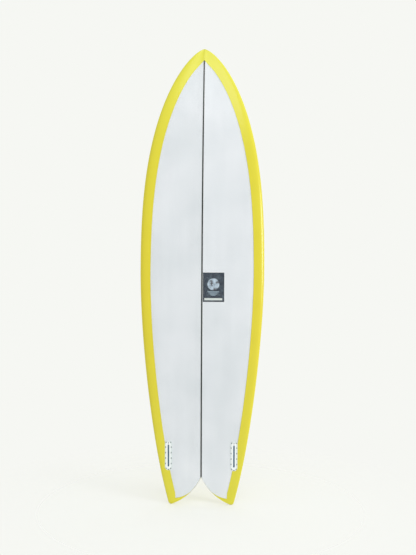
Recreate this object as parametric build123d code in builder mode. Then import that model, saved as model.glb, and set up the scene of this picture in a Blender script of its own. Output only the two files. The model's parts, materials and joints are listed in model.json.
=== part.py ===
from build123d import *
from math import cos, hypot, radians, sin
import os

# Twin-fin fish surfboard, standing on its tail: +Z to the nose, -Y out of the bottom face,
# +Y out of the deck. The origin is at mid length, on the stringer, at mid thickness.

# --- driving dimensions (mm) ---
LENGTH = 1981.0             # 6 ft 6 in, nose to tail tips
WIDTH = 528.0               # about 20 3/4 in
THICKNESS = 67.0            # 2 5/8 in
WIDE_POINT = 11.5           # widest station, ahead of mid length
NOSE_ROCKER = 117.0         # lift of the nose tip above the flat of the bottom
TAIL_ROCKER = 48.0
CONCAVE = 3.0               # depth of the double concave each side of the stringer
SKIN = 1.2                  # cloth, resin and gloss coat together
LINER = 0.5                 # extra cloth patch under the feet, and the paper of the panel

CRACK_DEPTH = 119.8         # swallow-tail notch, above the tips
CRACK_BELLY = (52.0, 72.7)  # point on the notch edge: from the centre line, below the apex
CRACK_TIP = (136.0, 122.1)  # where the notch edge would meet the rail
TIP_RADIUS = 12.0
TIP_FLANK = (156.0, 60.0)   # the tip's outer side runs to this point: across, above the tips

# --- shape of the outline, foil and rocker curves: exponents and shares ---
NOSE_CURVE = 2.56           # a higher exponent keeps the nose wide for longer
NOSE_POINT = 0.675          # a higher exponent makes a sharper point
TAIL_TAPER = 0.431          # share of the width lost at the tail tips
TAIL_CURVE = 1.705
TIP_TAPER = 0.049           # share lost in the last few centimetres
TIP_CURVE = 7.0
NOSE_FOIL = 1.6
TAIL_FOIL = 2.2
TAIL_THINNING = 0.73        # share of the thickness lost at the tail tips
NOSE_LIFT = 2.4             # exponents of the rocker
TAIL_LIFT = 2.0
RAIL_HEIGHT = 0.37          # the rail's widest point, as a share of the thickness
RAIL_RISE = 0.08            # the same share grows by this much towards the nose

LAP_NOSE = 52.0             # width of the deck glass lapped onto the bottom
LAP_TAIL = 38.5
LAP_APEX = 54.0             # lap line's point on the stringer, below the nose
LAP_POINTS = (75, 140, 240, 400, 620, 900, 1200, 1500, 1780)   # drawn at these distances from the nose
LAP_CORNER = (110.0, 27.5)  # lap line's inner corner by the tail tip: across, above the tips
LAP_END = (50.0, 51.0)      # where the lap line runs out at the notch edge
LAP_SAG = 5.0               # how far the lap line bows towards the notch between the two

STRINGER_WIDTH = 6.35       # a quarter inch
GLUE_LINE = 0.6             # cured glue each side of the stringer
PANEL = (4.5, 94.5, -123.0, 1.0)      # paper panel: left, right, lowest, highest
PATCH = (170.0, -840.0, 240.0)        # deck patch: half width, lowest, highest

BOX_ACROSS = 139.5          # fin boxes: from the centre line
BOX_ABOVE_TIPS = 212.0      # fin boxes: centre, above the tail tips
BOX_LENGTH = 128.0
BOX_FLANGE = 30.0           # overall width of the perforated flange
BOX_FLANGE_DEPTH = 2.0
BOX_CORE = 18.0             # width of the solid core
BOX_DEPTH = 15.0
SLOT_LENGTH = 96.0
SLOT_WIDTH = 7.0
SLOT_DEPTH = 12.7           # half an inch, the shallow kind of box for thin tails
SLOT_SHIFT = -1.0           # slot centre, behind the box centre
HOLE_PITCH = 23.6           # flange perforations
HOLE_LENGTH = 7.0
HOLE_WIDTH = 3.6
CORNER_HOLE = 54.0          # perforations round the flange's ends, degrees from its length
ROUT_GAP = 1.5              # resin round the box core
ROUT_BED = 1.2              # resin under the flange

SCREW_RADIUS = 2.4
SCREW_LENGTH = 9.0
SCREW_SOCKET = 2.4          # across flats
SCREW_SUNK = 1.2            # head below the box face at rest
SCREW_AHEAD = 54.0          # from the box centre, towards the nose
SCREW_LEAN = 25.0           # degrees from the box's normal
SCREW_BORE_DEPTH = 14.5
SCREW_CLEARANCE = 0.05

PLUG_ACROSS = -22.0         # leash plug, in the deck
PLUG_ABOVE_TIPS = 190.0
PLUG_RADIUS = 12.7
PLUG_DEPTH = 19.0
PLUG_WALL = 2.2
PLUG_POTTING = 1.6
BAR_RADIUS = 2.4
BAR_DEPTH = 5.0             # bar's centre, below the rim

STATIONS = 24               # loft sections, closer together towards the nose
HALF = LENGTH / 2
TAIL_RUNOUT = 6.0           # the lofts run this far past the tips, and the tail cut trims them


def nose_share(z):
    return min(1.0, max(0.0, (z - WIDE_POINT) / (HALF - WIDE_POINT)))


def tail_share(z):
    return max(0.0, (WIDE_POINT - z) / (HALF + WIDE_POINT))


def half_width(z):
    """Plan outline: a blunt pointed nose, and a tail that narrows almost straight."""
    nose = (1 - nose_share(z) ** NOSE_CURVE) ** NOSE_POINT
    tail = 1 - TAIL_TAPER * tail_share(z) ** TAIL_CURVE - TIP_TAPER * tail_share(z) ** TIP_CURVE
    return WIDTH / 2 * nose * tail


def thickness(z):
    """Foil on the stringer."""
    nose = (1 - nose_share(z) ** NOSE_FOIL) ** 0.5
    tail = 1 - TAIL_THINNING * tail_share(z) ** TAIL_FOIL
    return THICKNESS * nose * tail


def bottom_line(z):
    """Rocker: the bottom's height on the stringer."""
    nose = NOSE_ROCKER * max(0.0, z / HALF) ** NOSE_LIFT
    tail = TAIL_ROCKER * max(0.0, -z / HALF) ** TAIL_LIFT
    return nose + tail - THICKNESS / 2


def rail_line(z):
    """Height of the rail's widest point, lower towards the tail."""
    return bottom_line(z) + thickness(z) * (RAIL_HEIGHT + RAIL_RISE * z / HALF)


def concave(z):
    """Depth of the double concave, shallower towards both ends."""
    return CONCAVE * (1 - 0.7 * nose_share(z)) * (1 - 0.4 * tail_share(z))


def blank(inset):
    """The shaped board with every surface moved in by inset."""
    first = 0.3 + 4 * inset
    reach = LENGTH + TAIL_RUNOUT - first
    with BuildPart() as body:
        for station in range(STATIONS + 1):
            z = HALF - first - reach * (station / STATIONS) ** 2.2
            flare = (half_width(z - 0.5) - half_width(z + 0.5))
            wide = half_width(z) - inset * hypot(1, flare)
            deck = bottom_line(z) + thickness(z) - inset
            bottom = bottom_line(z) + inset
            rail = rail_line(z)
            dish = concave(z)
            with BuildSketch(Plane.XY.offset(z)):
                with BuildLine():
                    for side in (1, -1):
                        Bezier(
                            (0, deck),
                            (side * 0.35 * wide, deck),
                            (side * 0.80 * wide, deck - 0.12 * (deck - rail)),
                            (side * wide, rail + 0.5 * (deck - rail)),
                            (side * wide, rail),
                        )
                        Bezier(
                            (side * wide, rail),
                            (side * wide, bottom + 0.45 * (rail - bottom)),
                            (side * 0.99 * wide, bottom),
                            (side * 0.82 * wide, bottom),
                            (side * 0.50 * wide, bottom + 1.9 * dish),
                            (side * 0.22 * wide, bottom + 1.6 * dish),
                            (0, bottom),
                        )
                make_face()
        loft()
    return body.part


def tail_cut(allowance):
    """Everything behind the swallow tail's edge, grown towards the board by allowance."""
    apex = CRACK_DEPTH - HALF
    outside = WIDTH / 2
    flank = TIP_FLANK[1] - HALF
    behind = -HALF - TAIL_RUNOUT - WIDTH / 10
    with BuildPart() as cut:
        with BuildSketch(Plane.XZ) as region:
            with BuildLine():
                for side in (1, -1):
                    corner = (side * CRACK_TIP[0], apex - CRACK_TIP[1])
                    ThreePointArc((0, apex), (side * CRACK_BELLY[0], apex - CRACK_BELLY[1]), corner)
                    Polyline(corner, (side * TIP_FLANK[0], flank), (side * outside, flank),
                             (side * outside, behind), (0, behind))
            make_face()
            corners = region.vertices().filter_by(lambda v: abs(abs(v.X) - CRACK_TIP[0]) < 0.1)
            fillet(corners, TIP_RADIUS)
            if allowance:
                offset(amount=allowance)
        extrude(amount=THICKNESS * 2, both=True)
    return cut.part


def lap_point(nose_distance):
    """Point on the lap line: the outline moved in by the width of the lap."""
    z = HALF - nose_distance
    slope = half_width(z - 0.5) - half_width(z + 0.5)
    lap = LAP_NOSE + (LAP_TAIL - LAP_NOSE) * nose_distance / LENGTH
    return half_width(z) - lap / hypot(1, slope), z - lap * slope / hypot(1, slope)


def panel_zone():
    """The part of the bottom that the deck's lap leaves clear, up to the rail line."""
    with BuildPart() as zone:
        with BuildSketch(Plane.XZ):
            with BuildLine():
                top = (0, HALF - LAP_APEX)
                corner = (LAP_CORNER[0], LAP_CORNER[1] - HALF)
                end = (LAP_END[0], LAP_END[1] - HALF)
                sag = ((corner[0] + end[0]) / 2, (corner[1] + end[1]) / 2 - LAP_SAG)
                Spline(top, *[lap_point(distance) for distance in LAP_POINTS], corner)
                ThreePointArc(corner, sag, end)
                Line(end, (0, end[1]))
                mirror(about=Plane.YZ)
            make_face()
        extrude(amount=THICKNESS * 3, both=True)
        with BuildSketch(Plane.YZ):
            with BuildLine():
                heights = [HALF * share for share in (1.0, 0.8, 0.5, 0.2, -0.2, -0.6, -1.0)]
                rails = Spline(*[(rail_line(z), z) for z in heights])
                Polyline(rails @ 0, (-WIDTH, HALF), (-WIDTH, -HALF), rails @ 1)
            make_face()
        extrude(amount=WIDTH, both=True, mode=Mode.INTERSECT)
    return zone.part


def prism(left, right, low, high):
    """Upright block through the board's full thickness."""
    with BuildPart() as block:
        with BuildSketch(Plane.XZ):
            with Locations(((left + right) / 2, (low + high) / 2)):
                Rectangle(right - left, high - low)
        extrude(amount=THICKNESS * 4, both=True)
    return block.part


def seat(body, x, z, outward):
    """Plane on the board's surface, its normal outwards and its x to the nose."""
    line = Axis((x, 0, z), (0, 1, 0))
    hits = [hit for face in body.faces() for hit in face.find_intersection_points(line)]
    point, normal = max(hits, key=lambda hit: outward * hit[0].Y)
    if normal.Y * outward < 0:
        normal = -normal
    return Plane(origin=point, x_dir=(0, 0, 1), z_dir=normal)


def box_rout(face):
    """Hole routed for a fin box: a shallow step for the flange and a deep well for the core."""
    core_length = BOX_LENGTH - BOX_FLANGE + BOX_CORE
    with BuildPart() as rout:
        with BuildSketch(face):
            SlotOverall(BOX_LENGTH, BOX_FLANGE)
        extrude(amount=-(BOX_FLANGE_DEPTH + ROUT_BED))
        with BuildSketch(face):
            SlotOverall(core_length + 2 * ROUT_GAP, BOX_CORE + 2 * ROUT_GAP)
        extrude(amount=-(BOX_DEPTH + ROUT_GAP))
    return rout.part


def box_blank(face):
    """Fin box before its slot and screw bore are cut: perforated flange and solid core."""
    end = (BOX_LENGTH - BOX_FLANGE) / 2
    row = (BOX_FLANGE + BOX_CORE) / 4
    with BuildPart() as box:
        with BuildSketch(face):
            SlotOverall(BOX_LENGTH, BOX_FLANGE)
            with GridLocations(HOLE_PITCH, 2 * row, 4, 2):
                SlotOverall(HOLE_LENGTH, HOLE_WIDTH, mode=Mode.SUBTRACT)
            for angle in (CORNER_HOLE, -CORNER_HOLE, 180 - CORNER_HOLE, CORNER_HOLE - 180, 180):
                ahead = end if abs(angle) < 90 else -end
                centre = (ahead + row * cos(radians(angle)), row * sin(radians(angle)))
                with Locations(Location(centre, angle + 90)):
                    SlotOverall(HOLE_LENGTH, HOLE_WIDTH, mode=Mode.SUBTRACT)
        extrude(amount=-BOX_FLANGE_DEPTH)
        with BuildSketch(face):
            SlotOverall(BOX_LENGTH - BOX_FLANGE + BOX_CORE, BOX_CORE)
        extrude(amount=-BOX_DEPTH)
    return box.part


def screw_plane(face):
    """Plane where the fin screw's axis leaves the box, its normal out along the axis."""
    lean = radians(SCREW_LEAN)
    axis = face.z_dir * cos(lean) + face.x_dir * sin(lean)
    return Plane(origin=face.from_local_coords((SCREW_AHEAD, 0, 0)), x_dir=face.y_dir, z_dir=axis)


def fin_box(face):
    """Box with one open slot for a fin's base, and the leaning bore of its clamping screw."""
    with BuildPart() as box:
        add(box_blank(face))
        with BuildSketch(face):
            with Locations((SLOT_SHIFT, 0)):
                SlotOverall(SLOT_LENGTH, SLOT_WIDTH)
        extrude(amount=-SLOT_DEPTH, mode=Mode.SUBTRACT)
        with BuildSketch(screw_plane(face)):
            Circle(SCREW_RADIUS + SCREW_CLEARANCE)
        extrude(amount=-SCREW_BORE_DEPTH, mode=Mode.SUBTRACT)
        with BuildSketch(screw_plane(face)):
            Circle(SCREW_RADIUS + SCREW_CLEARANCE)
        extrude(amount=SCREW_RADIUS, mode=Mode.SUBTRACT)
    return box.part


def box_potting(face):
    """Cured resin round the core, under the flange and up through its perforations."""
    with BuildPart() as potting:
        add(box_rout(face))
        add(box_blank(face), mode=Mode.SUBTRACT)
    return potting.part


def fin_screw(face):
    """Headless screw with a hexagon socket and a chamfered point."""
    head = screw_plane(face).offset(-SCREW_SUNK)
    with BuildPart() as screw:
        with BuildSketch(head):
            Circle(SCREW_RADIUS)
        extrude(amount=-SCREW_LENGTH)
        ends = screw.edges().filter_by(GeomType.CIRCLE)
        chamfer(ends, 0.4)
        with BuildSketch(head):
            RegularPolygon(SCREW_SOCKET / 2, 6, major_radius=False)
        extrude(amount=-SCREW_RADIUS * 1.2, mode=Mode.SUBTRACT)
    return screw.part


def plug_blank(face, radius, depth):
    """Plain disc sunk into the deck."""
    with BuildPart() as round_block:
        with BuildSketch(face):
            Circle(radius)
        extrude(amount=-depth)
    return round_block.part


def plug_bar(face):
    """Cross bar that a leash cord is tied to, its ends in the cup's wall."""
    centre = face.from_local_coords((0, 0, -BAR_DEPTH))
    with BuildPart() as bar:
        with BuildSketch(Plane(origin=centre, x_dir=face.z_dir, z_dir=face.y_dir)):
            Circle(BAR_RADIUS)
        extrude(amount=PLUG_RADIUS - PLUG_WALL / 3, both=True)
    return bar.part


def leash_cup(face):
    """Cup with a round bottom and a bar across it, just under the deck."""
    inside = PLUG_RADIUS - PLUG_WALL
    with BuildPart() as cup:
        add(plug_blank(face, PLUG_RADIUS, PLUG_DEPTH))
        with BuildSketch(Plane(origin=face.origin, x_dir=face.x_dir, z_dir=-face.y_dir)):
            with BuildLine():
                depth = PLUG_DEPTH - PLUG_WALL
                Polyline((0, -depth), (0, 0), (inside, 0), (inside, inside - depth))
                RadiusArc((inside, inside - depth), (0, -depth), inside)
            make_face()
        revolve(axis=Axis(face.origin, face.z_dir), mode=Mode.SUBTRACT)
        add(plug_bar(face), mode=Mode.SUBTRACT)
    return cup.part


def finish(part, name):
    """Names a finished piece and writes its file."""
    part.label = name
    export_step(part, f"parts/{name}.step")


os.makedirs("parts", exist_ok=True)

# --- whole-board solids that the pieces are cut from ---
outer = blank(0) - tail_cut(0)
core = blank(SKIN) - tail_cut(SKIN)
liner = core - blank(SKIN + LINER)
clear_zone = panel_zone()
box_faces = {
    "left": seat(outer, -BOX_ACROSS, BOX_ABOVE_TIPS - HALF, -1),
    "right": seat(outer, BOX_ACROSS, BOX_ABOVE_TIPS - HALF, -1),
}
routs = [box_rout(face) for face in box_faces.values()]
plug_face = seat(outer, PLUG_ACROSS, PLUG_ABOVE_TIPS - HALF, 1)
plug_rout = plug_blank(plug_face, PLUG_RADIUS + PLUG_POTTING, PLUG_DEPTH + PLUG_POTTING)

# --- glass skins ---
with BuildPart() as deck_laminate:
    add(outer)
    for taken in (core, clear_zone, *routs, plug_rout):
        add(taken, mode=Mode.SUBTRACT)
finish(deck_laminate.part, "deck_laminate")

with BuildPart() as bottom_laminate:
    add(outer)
    add(clear_zone, mode=Mode.INTERSECT)
    for taken in (core, *routs):
        add(taken, mode=Mode.SUBTRACT)
finish(bottom_laminate.part, "bottom_laminate")

# --- pieces laid up between the foam and the glass ---
with BuildPart() as deck_patch:
    add((liner & prism(-PATCH[0], PATCH[0], PATCH[1], PATCH[2])).solids().sort_by(Axis.Y)[-1])
    add(plug_rout, mode=Mode.SUBTRACT)
finish(deck_patch.part, "deck_patch")

with BuildPart() as paper_panel:
    add((liner & prism(*PANEL)).solids().sort_by(Axis.Y)[0])
finish(paper_panel.part, "paper_panel")

# --- foam blank and stringer ---
with BuildPart() as filling:
    add(core)
    for taken in (deck_patch.part, paper_panel.part, *routs, plug_rout):
        add(taken, mode=Mode.SUBTRACT)

wood = STRINGER_WIDTH / 2
glue = wood + GLUE_LINE
slices = {"stringer": (-wood, wood), "glue_line_left": (-glue, -wood), "glue_line_right": (wood, glue)}
for name, (left, right) in slices.items():
    with BuildPart() as slice_of_blank:
        add(filling.part)
        add(prism(left, right, -LENGTH, LENGTH), mode=Mode.INTERSECT)
    finish(slice_of_blank.part, name)

for side, name in ((-1, "foam_left"), (1, "foam_right")):
    with BuildPart() as foam:
        add(filling.part)
        split(bisect_by=Plane(origin=(side * glue, 0, 0), z_dir=(side, 0, 0)))
    finish(foam.part, name)

# --- fin boxes ---
for name, face in box_faces.items():
    finish(fin_box(face), f"fin_box_{name}")
    finish(box_potting(face), f"fin_box_potting_{name}")
    finish(fin_screw(face), f"fin_screw_{name}")

# --- leash plug ---
finish(leash_cup(plug_face), "leash_cup")
finish(plug_bar(plug_face), "leash_bar")

with BuildPart() as leash_potting:
    add(plug_rout)
    add(plug_blank(plug_face, PLUG_RADIUS, PLUG_DEPTH), mode=Mode.SUBTRACT)
finish(leash_potting.part, "leash_potting")
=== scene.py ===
import bpy
import bmesh
import json
from math import comb, cos, hypot, pi, radians, sin, tan
from mathutils import Matrix, Vector
from mathutils.bvhtree import BVHTree


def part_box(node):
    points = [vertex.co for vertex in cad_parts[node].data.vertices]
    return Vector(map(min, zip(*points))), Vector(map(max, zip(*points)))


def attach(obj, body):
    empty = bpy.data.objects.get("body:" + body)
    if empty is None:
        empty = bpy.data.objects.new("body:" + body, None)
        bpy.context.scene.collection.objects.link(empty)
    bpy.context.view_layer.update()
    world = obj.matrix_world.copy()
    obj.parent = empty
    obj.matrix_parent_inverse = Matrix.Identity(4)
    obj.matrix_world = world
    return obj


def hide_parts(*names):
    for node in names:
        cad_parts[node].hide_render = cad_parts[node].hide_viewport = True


# Twin-fin fish surfboard seen bottom first, nose up. Metres, in the CAD model's frame:
# +Z to the nose, -Y out of the bottom, +Y out of the deck.
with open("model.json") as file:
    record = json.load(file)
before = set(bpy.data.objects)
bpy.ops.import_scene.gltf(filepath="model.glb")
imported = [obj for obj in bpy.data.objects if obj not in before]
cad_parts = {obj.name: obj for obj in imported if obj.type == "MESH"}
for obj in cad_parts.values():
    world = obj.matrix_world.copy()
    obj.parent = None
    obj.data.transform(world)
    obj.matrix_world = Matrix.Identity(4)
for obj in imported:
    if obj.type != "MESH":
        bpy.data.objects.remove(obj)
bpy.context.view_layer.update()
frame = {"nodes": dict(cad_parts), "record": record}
nodes = frame["nodes"]
mounts = {mount["name"]: mount for mount in frame["record"]["mounts"]}

# --- board dimensions: size from the frame, curves as the board was shaped ---
deck_low, deck_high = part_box("deck_laminate")
HALF = deck_high.z + 0.0003             # mid length to the nose tip, which the model blunts a little
LENGTH = 2 * HALF
WIDTH = 2 * deck_high.x
THICKNESS = -2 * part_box("bottom_laminate")[0].y
WIDE_POINT = 0.0115
NOSE_ROCKER = 0.117                     # lift of the nose tip above the flat of the bottom
TAIL_ROCKER = 0.048
CONCAVE = 0.003                         # depth of the double concave each side of the stringer
SKIN = 0.0005                           # thickness of the glass shell, clear of the foam below it
CRACK_APEX = 0.1198 - HALF              # height of the swallow-tail notch's point
CRACK_BELLY = (0.0520, 0.0727)          # on the notch edge: from the centre line, below the apex
CRACK_TIP = (0.1360, 0.1221)            # where the notch edge would meet the rail
TIP_RADIUS = 0.012
TIP_FLANK = (0.156, 0.060)              # the tip's outer side runs to here: across, above the tips
TAIL_RUNOUT = 0.006                     # the surface runs this far past the tips, and the cut trims it

# exponents and shares of the outline, foil and rocker
NOSE_CURVE = 2.56
NOSE_POINT = 0.675
TAIL_TAPER = 0.431
TAIL_CURVE = 1.705
TIP_TAPER = 0.049
TIP_CURVE = 7
NOSE_FOIL = 1.6
TAIL_FOIL = 2.2
TAIL_THINNING = 0.73
NOSE_LIFT = 2.4
TAIL_LIFT = 2.0
RAIL_HEIGHT = 0.37
RAIL_RISE = 0.08

LAP_NOSE = 0.052                        # width of the deck glass lapped onto the bottom
LAP_TAIL = 0.0385
LAP_APEX = 0.054                        # lap line's point on the stringer, below the nose
LAP_CORNER = (0.110, 0.0275)            # lap line's inner corner by a tail tip: across, above the tips
LAP_END = (0.050, 0.051)                # where the lap line runs out at the notch edge
LAP_SAG = 0.005                         # how far it bows between the two

BOX_LENGTH = 0.128
BOX_FLANGE = 0.030                      # overall width of the perforated flange
BOX_CORE_HALF = 0.0088                  # half width of the fin box's white core
SLOT_SHIFT = -0.001                     # slot centre, behind the box centre
SLOT_SHADE = 0.013                      # the slot's painted shade deepens down to here, about its floor
PLUG_RADIUS = 0.0127 + 0.0016           # leash cup and the resin round it
BAR_DEPTH = 0.005                       # bar's centre, below the cup's rim
CUT_DEPTH = 0.006                       # cutters at the fittings reach this far either side of the skin
THROUGH = 0.4                           # other cutters go right through the board

ROWS = 170                              # rings of the surface from nose to tail
DECK_STEPS = 18                         # points of a ring from the deck's middle to the rail
BOTTOM_STEPS = 34                       # and on from the rail to the bottom's middle


def nose_share(z):
    return min(1.0, max(0.0, (z - WIDE_POINT) / (HALF - WIDE_POINT)))


def tail_share(z):
    return max(0.0, (WIDE_POINT - z) / (HALF + WIDE_POINT))


def half_width(z):
    """Plan outline."""
    nose = (1 - nose_share(z) ** NOSE_CURVE) ** NOSE_POINT
    tail = 1 - TAIL_TAPER * tail_share(z) ** TAIL_CURVE - TIP_TAPER * tail_share(z) ** TIP_CURVE
    return WIDTH / 2 * nose * tail


def thickness(z):
    """Foil on the stringer."""
    nose = (1 - nose_share(z) ** NOSE_FOIL) ** 0.5
    tail = 1 - TAIL_THINNING * tail_share(z) ** TAIL_FOIL
    return THICKNESS * nose * tail


def bottom_line(z):
    """Rocker: the bottom's height on the stringer."""
    nose = NOSE_ROCKER * max(0.0, z / HALF) ** NOSE_LIFT
    tail = TAIL_ROCKER * max(0.0, -z / HALF) ** TAIL_LIFT
    return nose + tail - THICKNESS / 2


def rail_line(z):
    """Height of the rail's widest point."""
    return bottom_line(z) + thickness(z) * (RAIL_HEIGHT + RAIL_RISE * z / HALF)


def concave(z):
    """Depth of the double concave, shallower towards both ends."""
    return CONCAVE * (1 - 0.7 * nose_share(z)) * (1 - 0.4 * tail_share(z))


def bezier(points, steps):
    """Points along a Bezier curve, its last point left out."""
    degree = len(points) - 1
    curve = []
    for step in range(steps):
        t = step / steps
        weights = [comb(degree, i) * t ** i * (1 - t) ** (degree - i) for i in range(degree + 1)]
        x = sum(weight * point[0] for weight, point in zip(weights, points))
        y = sum(weight * point[1] for weight, point in zip(weights, points))
        curve.append((x, y))
    return curve


def section(z):
    """Ring of points round the board, from the deck's middle over the right rail and back."""
    wide = half_width(z)
    deck = bottom_line(z) + thickness(z)
    bottom = bottom_line(z)
    rail = rail_line(z)
    dish = concave(z)
    over = [(0, deck), (0.35 * wide, deck), (0.80 * wide, deck - 0.12 * (deck - rail)),
            (wide, rail + 0.5 * (deck - rail)), (wide, rail)]
    under = [(wide, rail), (wide, bottom + 0.45 * (rail - bottom)), (0.99 * wide, bottom),
             (0.82 * wide, bottom), (0.50 * wide, bottom + 1.9 * dish),
             (0.22 * wide, bottom + 1.6 * dish), (0, bottom)]
    right = bezier(over, DECK_STEPS) + bezier(under, BOTTOM_STEPS)
    left = [(-x, y) for x, y in right[:0:-1]]
    return [Vector((x, y, z)) for x, y in right + [(0, bottom)] + left]


# --- mesh helpers ---
def tag(name):
    """Material that only tells which piece a face came from, until the looks are put on."""
    return bpy.data.materials.get(name) or bpy.data.materials.new(name)


def mesh_object(name, verts, faces, label):
    """Closed mesh with outward normals and a tag material."""
    mesh = bpy.data.meshes.new(name)
    mesh.from_pydata(verts, [], faces)
    mesh.validate()
    mesh.materials.append(tag(label))
    made = bmesh.new()
    made.from_mesh(mesh)
    bmesh.ops.recalc_face_normals(made, faces=made.faces)
    made.to_mesh(mesh)
    made.free()
    obj = bpy.data.objects.new(name, mesh)
    bpy.context.scene.collection.objects.link(obj)
    return obj


def lofted(name, rings, label="cut_away"):
    """Closed mesh through rings of equal length, with a face at each end."""
    count = len(rings[0])
    verts = [point for ring in rings for point in ring]
    faces = [list(range(count)), [len(verts) - 1 - i for i in range(count)]]
    for row in range(len(rings) - 1):
        for i in range(count):
            j = (i + 1) % count
            a, b = row * count, (row + 1) * count
            faces.append([a + i, a + j, b + j, b + i])
    return mesh_object(name, verts, faces, label)


def prism(name, outline, origin, across, along, depth, rise, label="cut_away"):
    """Outline of (across, along) points swept from -depth to rise along the outward normal."""
    normal = across.cross(along).normalized()
    rings = []
    for height in (-depth, rise):
        rings.append([origin + across * x + along * z + normal * height for x, z in outline])
    return lofted(name, rings, label)


def combine(body, tool, operation):
    """Exact boolean of two closed meshes; the faces made by the tool keep its material."""
    modifier = body.modifiers.new("cut", "BOOLEAN")
    modifier.operation = operation
    modifier.solver = "EXACT"
    modifier.object = tool
    modifier.material_mode = "TRANSFER"
    graph = bpy.context.evaluated_depsgraph_get()
    mesh = bpy.data.meshes.new_from_object(body.evaluated_get(graph))
    body.modifiers.clear()
    old = body.data
    body.data = mesh
    bpy.data.meshes.remove(old)


def copy_of(obj, name):
    twin = obj.copy()
    twin.data = obj.data.copy()
    twin.name = name
    bpy.context.scene.collection.objects.link(twin)
    return twin


def drop(obj):
    bpy.data.objects.remove(obj, do_unlink=True)


# --- outlines, as (across, along) points ---
def arc(start, middle, end, steps):
    """Points on the circle through three points."""
    (ax, ay), (bx, by), (cx, cy) = start, middle, end
    d = 2 * (ax * (by - cy) + bx * (cy - ay) + cx * (ay - by))
    ox = ((ax**2 + ay**2) * (by - cy) + (bx**2 + by**2) * (cy - ay) + (cx**2 + cy**2) * (ay - by)) / d
    oy = ((ax**2 + ay**2) * (cx - bx) + (bx**2 + by**2) * (ax - cx) + (cx**2 + cy**2) * (bx - ax)) / d
    centre = Vector((ox, oy))
    first, last = Vector(start) - centre, Vector(end) - centre
    turn = first.angle_signed(last)
    points = []
    for step in range(steps + 1):
        spoke = first.copy()
        spoke.rotate(Matrix.Rotation(-turn * step / steps, 2))
        points.append(centre + spoke)
    return points


def rounded(before, corner, after, radius, steps):
    """The corner of two straight lines, replaced by an arc of this radius."""
    back = (before - corner).normalized()
    ahead = (after - corner).normalized()
    half_angle = back.angle(ahead) / 2
    reach = radius / tan(half_angle)
    middle = corner + (back + ahead).normalized() * (radius / sin(half_angle) - radius)
    return arc(corner + back * reach, middle, corner + ahead * reach, steps)


def capsule(length, width, steps):
    """Outline with straight sides and half-round ends, long across the second axis."""
    radius, straight = width / 2, (length - width) / 2
    points = []
    for end in (1, -1):
        for step in range(steps + 1):
            angle = pi * step / steps
            points.append((end * radius * cos(angle), end * (straight + radius * sin(angle))))
    return points


def tail_outline():
    """Region behind the swallow tail, notch and tips included."""
    corner = Vector((CRACK_TIP[0], CRACK_APEX - CRACK_TIP[1]))
    belly = (CRACK_BELLY[0], CRACK_APEX - CRACK_BELLY[1])
    flank = Vector((TIP_FLANK[0], TIP_FLANK[1] - HALF))
    edge = arc((0, CRACK_APEX), belly, corner, 60)
    tip = rounded(edge[-8], corner, flank, TIP_RADIUS, 14)
    edge = [point for point in edge if (point - corner).length > (tip[0] - corner).length]
    right = edge + tip + [flank, Vector((WIDTH, flank.y)), Vector((WIDTH, -HALF - 0.1))]
    left = [Vector((-point.x, point.y)) for point in right[:0:-1]]
    return right + left


def lap_point(nose_distance):
    """Point on the lap line: the outline moved in by the width of the lap."""
    z = HALF - nose_distance
    slope = (half_width(z - 0.0005) - half_width(z + 0.0005)) / 0.001
    lap = LAP_NOSE + (LAP_TAIL - LAP_NOSE) * nose_distance / LENGTH
    return half_width(z) - lap / hypot(1, slope), z - lap * slope / hypot(1, slope)


def sliver_outline():
    """The lap's edge beside the notch, and all behind it."""
    corner = (LAP_CORNER[0], LAP_CORNER[1] - HALF)
    end = (LAP_END[0], LAP_END[1] - HALF)
    sag = ((corner[0] + end[0]) / 2, (corner[1] + end[1]) / 2 - LAP_SAG)
    right = arc(end, sag, corner, 12) + [Vector((WIDTH, corner[1])), Vector((WIDTH, -HALF - 0.1))]
    left = [Vector((-point.x, point.y)) for point in reversed(right)]
    return right + left


# --- cutters ---
X_AXIS, Z_AXIS = Vector((1, 0, 0)), Vector((0, 0, 1))


def clear_zone():
    """The part of the bottom that the deck's lap leaves clear, up to the rail line."""
    steps = 120
    first, last = 0.075, LENGTH - 0.040
    line = [(0.0002, HALF - LAP_APEX)]
    line += [lap_point(first + (last - first) * step / steps) for step in range(steps + 1)]
    line.append((LAP_CORNER[0], LAP_CORNER[1] - HALF - 0.004))
    rings = []
    for x, z in line:
        top, low = rail_line(z), rail_line(z) - 0.2
        rings.append([Vector((x, top, z)), Vector((x, low, z)), Vector((-x, low, z)), Vector((-x, top, z))])
    zone = lofted("clear_zone", rings)
    sliver = prism("sliver", sliver_outline(), Vector(), X_AXIS, Z_AXIS, THROUGH, THROUGH)
    combine(zone, sliver, "DIFFERENCE")
    drop(sliver)
    return zone


def fitting_cutter(name, mount, outline, shift=0.0):
    """Cutter through the glass at a fitting, square to the surface there."""
    normal = Vector(mount["axis"])
    along = (Z_AXIS - normal * Z_AXIS.dot(normal)).normalized()
    across = along.cross(normal)
    origin = Vector(mount["pos_m"]) + along * shift
    return prism(name, outline, origin, across, along, CUT_DEPTH, CUT_DEPTH)


def plug_cutter():
    """Round hole for the leash plug; its mount gives the bar's middle and direction."""
    bar = Vector(mounts["leash_anchor"]["pos_m"])
    normal = Z_AXIS.cross(Vector(mounts["leash_anchor"]["axis"])).normalized()
    mouth = {"axis": normal if normal.y > 0 else -normal}
    mouth["pos_m"] = bar + mouth["axis"] * BAR_DEPTH
    outline = [(PLUG_RADIUS * cos(2 * pi * i / 48), PLUG_RADIUS * sin(2 * pi * i / 48)) for i in range(48)]
    return fitting_cutter("plug_cutter", mouth, outline)


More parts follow.
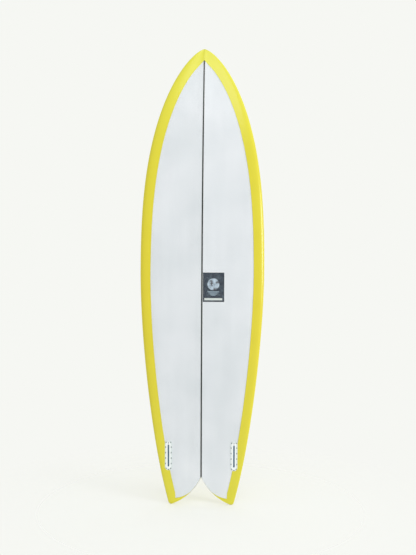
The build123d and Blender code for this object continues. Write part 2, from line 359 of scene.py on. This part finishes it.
# --- the board's outside, cut into the deck's glass and the bottom's glass ---
def whole_outside():
    """The whole board as a closed surface, its rings closer together towards the nose."""
    first = 0.0004
    reach = LENGTH + TAIL_RUNOUT - first
    rings = [section(HALF - first - reach * (row / ROWS) ** 1.7) for row in range(ROWS + 1)]
    return lofted("outside", rings, "skin")


def peel(obj):
    """Leaves the skin and the notch's walls, and takes away the faces that other cuts made."""
    keep = [slot != tag("cut_away") for slot in obj.data.materials]
    made = bmesh.new()
    made.from_mesh(obj.data)
    cut = [face for face in made.faces if not keep[face.material_index]]
    bmesh.ops.delete(made, geom=cut, context="FACES")
    made.to_mesh(obj.data)
    made.free()


def thicken(obj):
    """Gives the skin its thickness, inwards."""
    modifier = obj.modifiers.new("thickness", "SOLIDIFY")
    modifier.thickness = SKIN
    modifier.offset = -1
    graph = bpy.context.evaluated_depsgraph_get()
    mesh = bpy.data.meshes.new_from_object(obj.evaluated_get(graph))
    obj.modifiers.clear()
    obj.data = mesh


def smooth_like(obj, source):
    """Shades the curved faces with the normals of the uncut surface, and the rest flat."""
    tree = BVHTree.FromPolygons([v.co for v in source.data.vertices],
                                [p.vertices for p in source.data.polygons])
    source_faces = source.data.polygons
    source_verts = source.data.vertices
    normals = []
    for polygon in obj.data.polygons:
        polygon.use_smooth = True
        facing, _, distance = tree.find_nearest(polygon.center)[1:]
        side = polygon.normal.dot(facing)
        curved = abs(side) > 0.85 and distance < 1.3 * SKIN
        for loop in polygon.loop_indices:
            if not curved:
                normals.append(polygon.normal.copy())
                continue
            point = obj.data.vertices[obj.data.loops[loop].vertex_index].co
            nearest = tree.find_nearest(point)[2]
            corners = source_faces[nearest].vertices
            weights = [1 / ((source_verts[c].co - point).length + 1e-5) ** 2 for c in corners]
            blend = sum((source_verts[c].normal * w for c, w in zip(corners, weights)), Vector())
            normals.append(blend.normalized() * (1 if side > 0 else -1))
    obj.data.normals_split_custom_set(normals)


def make_glass():
    """Deck glass and bottom glass, cut from one surface so that they meet along the lap line."""
    outside = whole_outside()
    body = copy_of(outside, "deck_glass")
    tail = prism("tail_cutter", tail_outline(), Vector(), X_AXIS, Z_AXIS, THROUGH, THROUGH, "notch")
    flange = capsule(BOX_LENGTH, BOX_FLANGE, 20)
    zone = clear_zone()
    cutters = [tail]
    for side in ("left", "right"):
        mount = mounts[f"fin_base_{side}"]
        cutters.append(fitting_cutter(f"flange_cutter_{side}", mount, flange, -SLOT_SHIFT))
    for cutter in cutters:
        combine(body, cutter, "DIFFERENCE")
    bottom = copy_of(body, "bottom_glass")
    combine(bottom, zone, "INTERSECT")
    combine(body, zone, "DIFFERENCE")
    plug = plug_cutter()
    combine(body, plug, "DIFFERENCE")
    for glass, node in ((body, "deck_laminate"), (bottom, "bottom_laminate")):
        peel(glass)
        thicken(glass)
        smooth_like(glass, outside)
        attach(glass, "board")
        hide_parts(node)
    for cutter in (*cutters, zone, plug, outside):
        drop(cutter)
    return body, bottom


# --- materials ---
def new_material(name):
    material = bpy.data.materials.new(name)
    material.use_nodes = True
    return material, material.node_tree, material.node_tree.nodes["Principled BSDF"]


def add_node(tree, kind, **inputs):
    """New node with the values of some of its sockets; underscores stand for spaces."""
    node = tree.nodes.new(kind)
    for name, value in inputs.items():
        node.inputs[name.replace("_", " ")].default_value = value
    return node


def place(tree, stretch=(1, 1, 1)):
    """Position on the piece, in metres, stretched per axis."""
    where = tree.nodes.new("ShaderNodeTexCoord")
    mapping = add_node(tree, "ShaderNodeMapping", Scale=stretch)
    tree.links.new(where.outputs["Object"], mapping.inputs["Vector"])
    return mapping.outputs["Vector"]


def noise(tree, scale, detail=3.0, roughness=0.5, stretch=(1, 1, 1)):
    texture = add_node(tree, "ShaderNodeTexNoise", Scale=scale, Detail=detail, Roughness=roughness)
    tree.links.new(place(tree, stretch), texture.inputs["Vector"])
    return texture.outputs["Fac"]


def ramp(tree, factor, stops):
    """Colour ramp through (position, colour) stops."""
    node = tree.nodes.new("ShaderNodeValToRGB")
    elements = node.color_ramp.elements
    while len(elements) < len(stops):
        elements.new(0.5)
    for element, (position, color) in zip(elements, stops):
        element.position = position
        element.color = (*color, 1)
    tree.links.new(factor, node.inputs["Fac"])
    return node.outputs["Color"]


def math_node(tree, operation, first, second=0.0, clamp=False):
    node = tree.nodes.new("ShaderNodeMath")
    node.operation = operation
    node.use_clamp = clamp
    for socket, value in zip(node.inputs, (first, second)):
        if isinstance(value, (int, float)):
            socket.default_value = value
        else:
            tree.links.new(value, socket)
    return node.outputs["Value"]


def blend_colors(tree, kind, factor, first, second):
    """Mix node of two colours, each a socket or a plain colour."""
    node = tree.nodes.new("ShaderNodeMix")
    node.data_type = "RGBA"
    node.blend_type = kind
    for name, value in (("Factor_Float", factor), ("A_Color", first), ("B_Color", second)):
        socket = next(s for s in node.inputs if s.identifier == name)
        if isinstance(value, bpy.types.NodeSocket):
            tree.links.new(value, socket)
        elif isinstance(value, tuple):
            socket.default_value = (*value, 1)
        else:
            socket.default_value = value
    return next(s for s in node.outputs if s.identifier == "Result_Color")


def bump(tree, shader, height, distance, strength):
    node = add_node(tree, "ShaderNodeBump", Distance=distance, Strength=strength)
    tree.links.new(height, node.inputs["Height"])
    tree.links.new(node.outputs["Normal"], shader.inputs["Normal"])


def axis_value(tree, axis):
    """One coordinate of the position on the piece, in metres."""
    split = tree.nodes.new("ShaderNodeSeparateXYZ")
    tree.links.new(place(tree), split.inputs["Vector"])
    return split.outputs[axis]


def stripe(tree, value, centre, half, soft):
    """1 within half of centre, falling to 0 over soft."""
    off = math_node(tree, "ABSOLUTE", math_node(tree, "SUBTRACT", value, centre))
    return math_node(tree, "DIVIDE", math_node(tree, "SUBTRACT", half + soft, off), soft, clamp=True)


def yellow_glass():
    """Tinted resin, paler at the ends and darker to the right as painted shade, with the stringer showing
    faintly.
    """
    material, tree, shader = new_material("yellow_glass")
    height = math_node(tree, "DIVIDE", math_node(tree, "ADD", axis_value(tree, "Z"), HALF), LENGTH)
    tint = ramp(tree, height, [(0.0, (0.75, 0.690, 0.056)), (0.45, (0.80, 0.680, 0.042)),
                               (0.75, (0.78, 0.700, 0.046)), (1.0, (0.82, 0.800, 0.080))])
    side = math_node(tree, "DIVIDE", math_node(tree, "ADD", axis_value(tree, "X"), WIDTH / 2), WIDTH)
    # painted shade: the colour darkens towards the right to offset the key light from that side
    painted_right_shade = ramp(tree, side, [(0.0, (1, 1, 1)), (1.0, (0.90, 0.91, 0.98))])
    cloud = ramp(tree, noise(tree, 9.0, 4.0), [(0.35, (0.975, 0.97, 0.94)), (0.65, (1, 1, 1))])
    color = blend_colors(tree, "MULTIPLY", 1.0, tint, painted_right_shade)
    color = blend_colors(tree, "MULTIPLY", 1.0, color, cloud)
    ghost = math_node(tree, "MULTIPLY", stripe(tree, axis_value(tree, "X"), 0.0, 0.0030, 0.0012), 0.16)
    color = blend_colors(tree, "MIX", ghost, color, (0.42, 0.38, 0.05))
    tree.links.new(color, shader.inputs["Base Color"])
    shader.inputs["Roughness"].default_value = 0.22
    shader.inputs["Specular IOR Level"].default_value = 0.35
    bump(tree, shader, noise(tree, 6.0, 2.0), 0.0006, 0.3)
    return material


def clear_glass():
    """Clear resin: see-through, with a soft gloss that grows towards grazing angles."""
    material, tree, shader = new_material("clear_glass")
    tree.nodes.remove(shader)
    facing = add_node(tree, "ShaderNodeLayerWeight", Blend=0.5)
    grazing = math_node(tree, "POWER", facing.outputs["Facing"], 5.0)
    share = math_node(tree, "ADD", math_node(tree, "MULTIPLY", grazing, 0.60), 0.015)
    gloss = add_node(tree, "ShaderNodeBsdfAnisotropic", Roughness=0.22)
    clear = tree.nodes.new("ShaderNodeBsdfTransparent")
    cloud = ramp(tree, noise(tree, 5.0, 3.0), [(0.3, (0.965, 0.975, 0.975)), (0.7, (0.995, 1, 1))])
    tree.links.new(cloud, clear.inputs["Color"])
    mix = tree.nodes.new("ShaderNodeMixShader")
    tree.links.new(share, mix.inputs["Fac"])
    tree.links.new(clear.outputs["BSDF"], mix.inputs[1])
    tree.links.new(gloss.outputs["BSDF"], mix.inputs[2])
    tree.links.new(mix.outputs["Shader"], tree.nodes["Material Output"].inputs["Surface"])
    return material


def foam_material():
    """Shaped polyurethane foam: fine closed cells and a faint sanding grain along the board."""
    material, tree, shader = new_material("foam")
    cells = noise(tree, 900.0, 2.0)
    grain = noise(tree, 30.0, 4.0, stretch=(1, 1, 0.06))
    color = ramp(tree, grain, [(0.3, (0.826, 0.836, 0.880)), (0.7, (0.856, 0.866, 0.910))])
    speck = ramp(tree, cells, [(0.35, (0.96, 0.96, 0.96)), (0.6, (1, 1, 1))])
    tree.links.new(blend_colors(tree, "MULTIPLY", 1.0, color, speck), shader.inputs["Base Color"])
    shader.inputs["Roughness"].default_value = 0.85
    bump(tree, shader, cells, 0.0002, 0.4)
    return material


def stringer_material():
    """Dark stained wood, its grain along the board."""
    material, tree, shader = new_material("stringer")
    grain = noise(tree, 220.0, 5.0, 0.6, stretch=(1, 1, 0.02))
    color = ramp(tree, grain, [(0.3, (0.005, 0.006, 0.009)), (0.7, (0.018, 0.018, 0.024))])
    tree.links.new(color, shader.inputs["Base Color"])
    shader.inputs["Roughness"].default_value = 0.6
    bump(tree, shader, grain, 0.0002, 0.5)
    return material


def plain_material(name, dark, light, roughness, scale, depth=0.0001, metallic=0.0):
    """Fine mottling between two close colours, with a matching bump."""
    material, tree, shader = new_material(name)
    mottle = noise(tree, scale, 4.0)
    tree.links.new(ramp(tree, mottle, [(0.3, dark), (0.7, light)]), shader.inputs["Base Color"])
    shader.inputs["Roughness"].default_value = roughness
    shader.inputs["Metallic"].default_value = metallic
    bump(tree, shader, mottle, depth, 0.3)
    return material


def along_direction(tree, direction, origin):
    """Distance from origin along a direction, as a socket."""
    product = add_node(tree, "ShaderNodeVectorMath")
    product.operation = "DOT_PRODUCT"
    product.inputs[1].default_value = direction
    tree.links.new(place(tree), product.inputs[0])
    return math_node(tree, "SUBTRACT", product.outputs["Value"], origin.dot(direction))


def box_material(side):
    """White moulded plastic, a little greyer on the perforated flange, with a painted blue-grey shade that
    deepens down in the slot.
    """
    material, tree, shader = new_material(f"box_plastic_{side}")
    mount = mounts[f"fin_base_{side}"]
    normal, origin = Vector(mount["axis"]), Vector(mount["pos_m"])
    along = (Z_AXIS - normal * Z_AXIS.dot(normal)).normalized()
    across = along.cross(normal)
    # painted shade: darker blue-grey with depth below the box's face, where the slot's walls shade its
    # floor
    depth = math_node(tree, "MULTIPLY", along_direction(tree, normal, origin), -1.0)
    share = math_node(tree, "DIVIDE", depth, SLOT_SHADE, clamp=True)
    inside = ramp(tree, share, [(0.0, (0.91, 0.95, 0.96)), (0.03, (0.89, 0.93, 0.95)),
                                (0.06, (0.42, 0.58, 0.68)), (1.0, (0.34, 0.50, 0.60))])
    beyond = math_node(tree, "ABSOLUTE", along_direction(tree, along, origin - along * SLOT_SHIFT))
    beyond = math_node(tree, "MAXIMUM", math_node(tree, "SUBTRACT", beyond, (BOX_LENGTH - BOX_FLANGE) / 2))
    aside = along_direction(tree, across, origin)
    off = math_node(tree, "SQRT", math_node(tree, "ADD", math_node(tree, "MULTIPLY", aside, aside),
                                            math_node(tree, "MULTIPLY", beyond, beyond)))
    flange = math_node(tree, "SUBTRACT", 1.0, stripe(tree, off, 0.0, BOX_CORE_HALF, 0.0006))
    flange = math_node(tree, "MULTIPLY", flange, 0.9)
    color = blend_colors(tree, "MIX", flange, inside, (0.72, 0.79, 0.79))
    cloud = ramp(tree, noise(tree, 120.0, 3.0), [(0.3, (0.97, 0.97, 0.97)), (0.7, (1, 1, 1))])
    tree.links.new(blend_colors(tree, "MULTIPLY", 1.0, color, cloud), shader.inputs["Base Color"])
    shader.inputs["Roughness"].default_value = 0.35
    return material


def panel_material():
    """Printed tissue: a pale, cratered moon over bars of moonlight on slate, and a pale strip."""
    material, tree, shader = new_material("printed_panel")
    low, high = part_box("paper_panel")
    wide, tall = high.x - low.x, high.z - low.z
    across = math_node(tree, "DIVIDE", math_node(tree, "SUBTRACT", axis_value(tree, "X"), low.x), wide)
    up = math_node(tree, "DIVIDE", math_node(tree, "SUBTRACT", axis_value(tree, "Z"), low.z), tall)
    slate = ramp(tree, noise(tree, 60.0, 5.0, 0.65), [(0.35, (0.022, 0.033, 0.053)),
                                                      (0.55, (0.036, 0.052, 0.078)),
                                                      (0.75, (0.150, 0.200, 0.240))])
    # moon
    dx = math_node(tree, "MULTIPLY", math_node(tree, "SUBTRACT", across, 0.49), wide)
    dz = math_node(tree, "MULTIPLY", math_node(tree, "SUBTRACT", up, 0.60), tall)
    radius = math_node(tree, "SQRT", math_node(tree, "ADD", math_node(tree, "MULTIPLY", dx, dx),
                                               math_node(tree, "MULTIPLY", dz, dz)))
    disc = stripe(tree, radius, 0.0, 0.0245, 0.0010)
    pale = ramp(tree, noise(tree, 62.0, 4.0, 0.55), [(0.36, (0.10, 0.10, 0.12)), (0.45, (0.38, 0.46, 0.55)),
                                                     (0.70, (0.62, 0.72, 0.84))])
    color = blend_colors(tree, "MIX", disc, slate, pale)
    # moonlight: straight bars, shorter towards the foot
    for level, half, shade in ((0.345, 0.24, (0.36, 0.46, 0.55)), (0.305, 0.18, (0.30, 0.39, 0.47)),
                               (0.265, 0.13, (0.36, 0.45, 0.53)), (0.225, 0.08, (0.28, 0.36, 0.44))):
        bar = math_node(tree, "MULTIPLY", stripe(tree, up, level, 0.009, 0.006),
                        stripe(tree, across, 0.49, half, 0.05))
        color = blend_colors(tree, "MIX", bar, color, shade)
    # plain pale strip near the foot
    strip = math_node(tree, "MULTIPLY", stripe(tree, up, 0.092, 0.034, 0.006),
                      stripe(tree, across, 0.49, 0.415, 0.01))
    color = blend_colors(tree, "MIX", strip, color, (0.70, 0.74, 0.72))
    # dark border
    side = stripe(tree, across, 0.5, 0.470, 0.01)
    ends = stripe(tree, up, 0.5, 0.475, 0.008)
    border = math_node(tree, "SUBTRACT", 1.0, math_node(tree, "MULTIPLY", side, ends))
    color = blend_colors(tree, "MIX", border, color, (0.010, 0.017, 0.025))
    tree.links.new(color, shader.inputs["Base Color"])
    shader.inputs["Roughness"].default_value = 0.6
    return material


def dress(name, material):
    mesh = nodes[name].data
    mesh.materials.clear()
    mesh.materials.append(material)


def cover(obj, material):
    obj.data.materials.clear()
    obj.data.materials.append(material)


def dress_all(deck_glass, bottom_glass):
    cover(deck_glass, yellow_glass())
    cover(bottom_glass, clear_glass())
    foam = foam_material()
    glue = plain_material("glue", (0.84, 0.86, 0.84), (0.90, 0.91, 0.89), 0.6, 200)
    potting = plain_material("potting_resin", (0.150, 0.200, 0.205), (0.200, 0.255, 0.260), 0.35, 90)
    steel = plain_material("steel", (0.30, 0.30, 0.31), (0.55, 0.56, 0.57), 0.32, 700, metallic=0.9)
    white = plain_material("plug_plastic", (0.82, 0.84, 0.84), (0.88, 0.90, 0.90), 0.35, 150)
    cloth = plain_material("cloth", (0.60, 0.57, 0.34), (0.70, 0.66, 0.40), 0.7, 1200)
    dress("stringer", stringer_material())
    dress("paper_panel", panel_material())
    dress("leash_cup", white)
    dress("leash_bar", steel)
    dress("leash_potting", potting)
    dress("deck_patch", cloth)
    for side in ("left", "right"):
        dress(f"foam_{side}", foam)
        dress(f"glue_line_{side}", glue)
        dress(f"fin_box_{side}", box_material(side))
        dress(f"fin_box_potting_{side}", potting)
        dress(f"fin_screw_{side}", steel)


# --- camera, at the photograph's angle ---
CAMERA_TARGET = Vector((0.0245, 0, -0.01948))
CAMERA_DISTANCE = 2.95
AZIMUTH, ELEVATION, ROLL = radians(2.206), radians(-0.852), radians(0.354)


def make_camera():
    data = bpy.data.cameras.new("camera")
    data.sensor_fit = "VERTICAL"
    data.sensor_height = 24
    data.lens = 29.86
    data.clip_end = 60
    camera = bpy.data.objects.new("camera", data)
    bpy.context.scene.collection.objects.link(camera)
    level = cos(ELEVATION)
    away = Vector((sin(AZIMUTH) * level, -cos(AZIMUTH) * level, sin(ELEVATION)))
    camera.location = CAMERA_TARGET + CAMERA_DISTANCE * away
    camera.rotation_euler = (-away).to_track_quat("-Z", "Y").to_euler()
    camera.rotation_euler.rotate_axis("Z", ROLL)
    bpy.context.scene.camera = camera


# --- studio ---
BACKDROP = (0.922, 0.931, 0.896)
DIM = 0.74                              # the backdrop's share that is left behind the camera


def make_world():
    """Pale backdrop behind the board, dimmer behind the camera and on the left."""
    world = bpy.data.worlds.new("studio")
    bpy.context.scene.world = world
    world.use_nodes = True
    tree = world.node_tree
    where = tree.nodes.new("ShaderNodeTexCoord")
    split = tree.nodes.new("ShaderNodeSeparateXYZ")
    tree.links.new(where.outputs["Generated"], split.inputs["Vector"])
    back = math_node(tree, "ADD", split.outputs["Y"],
                     math_node(tree, "MULTIPLY", split.outputs["X"], 0.35))
    share = math_node(tree, "ADD", math_node(tree, "MULTIPLY", back, 0.5), 0.5)
    dim = tuple(DIM * value for value in BACKDROP)
    color = ramp(tree, share, [(0.20, dim), (0.72, BACKDROP)])
    tree.links.new(color, tree.nodes["Background"].inputs["Color"])


def make_area(name, location, target, size, power):
    data = bpy.data.lights.new(name, "AREA")
    data.shape = "DISK"
    data.size = size
    data.energy = power
    light = bpy.data.objects.new(name, data)
    bpy.context.scene.collection.objects.link(light)
    light.location = location
    light.visible_camera = False
    aim = Vector(target) - Vector(location)
    light.rotation_euler = aim.to_track_quat("-Z", "Y").to_euler()


FLOOR_RADIUS = 1.2
FLOOR_FADE = 1.8                        # it would be solid this far inside its rim, so it never quite is


def make_floor():
    """Pale round floor under the tail tips that fades out, so that no horizon shows."""
    bpy.ops.mesh.primitive_circle_add(vertices=96, radius=FLOOR_RADIUS, fill_type="NGON",
                                      location=(0, 0.03, deck_low.z - 0.0005))
    floor = bpy.context.object
    floor.name = "floor"
    material, tree, shader = new_material("floor")
    shader.inputs["Base Color"].default_value = (0.96, 0.97, 0.95, 1)
    shader.inputs["Roughness"].default_value = 0.9
    where = tree.nodes.new("ShaderNodeTexCoord")
    length = add_node(tree, "ShaderNodeVectorMath")
    length.operation = "LENGTH"
    tree.links.new(where.outputs["Object"], length.inputs[0])
    inward = math_node(tree, "SUBTRACT", FLOOR_RADIUS - 0.05, length.outputs["Value"])
    solid = math_node(tree, "DIVIDE", inward, FLOOR_FADE, clamp=True)
    clear = tree.nodes.new("ShaderNodeBsdfTransparent")
    mix = tree.nodes.new("ShaderNodeMixShader")
    tree.links.new(solid, mix.inputs["Fac"])
    tree.links.new(clear.outputs["BSDF"], mix.inputs[1])
    tree.links.new(shader.outputs["BSDF"], mix.inputs[2])
    tree.links.new(mix.outputs["Shader"], tree.nodes["Material Output"].inputs["Surface"])
    floor.data.materials.append(material)


deck_glass, bottom_glass = make_glass()
dress_all(deck_glass, bottom_glass)
make_camera()
make_world()
make_area("key", (6.9, -4.5, 1.2), (0, 0, 0.0), 3.0, 312)
make_area("top", (0.4, -3.6, 4.0), (0, 0, 0.3), 2.0, 34)
make_floor()
bpy.context.scene.view_settings.view_transform = "Standard"
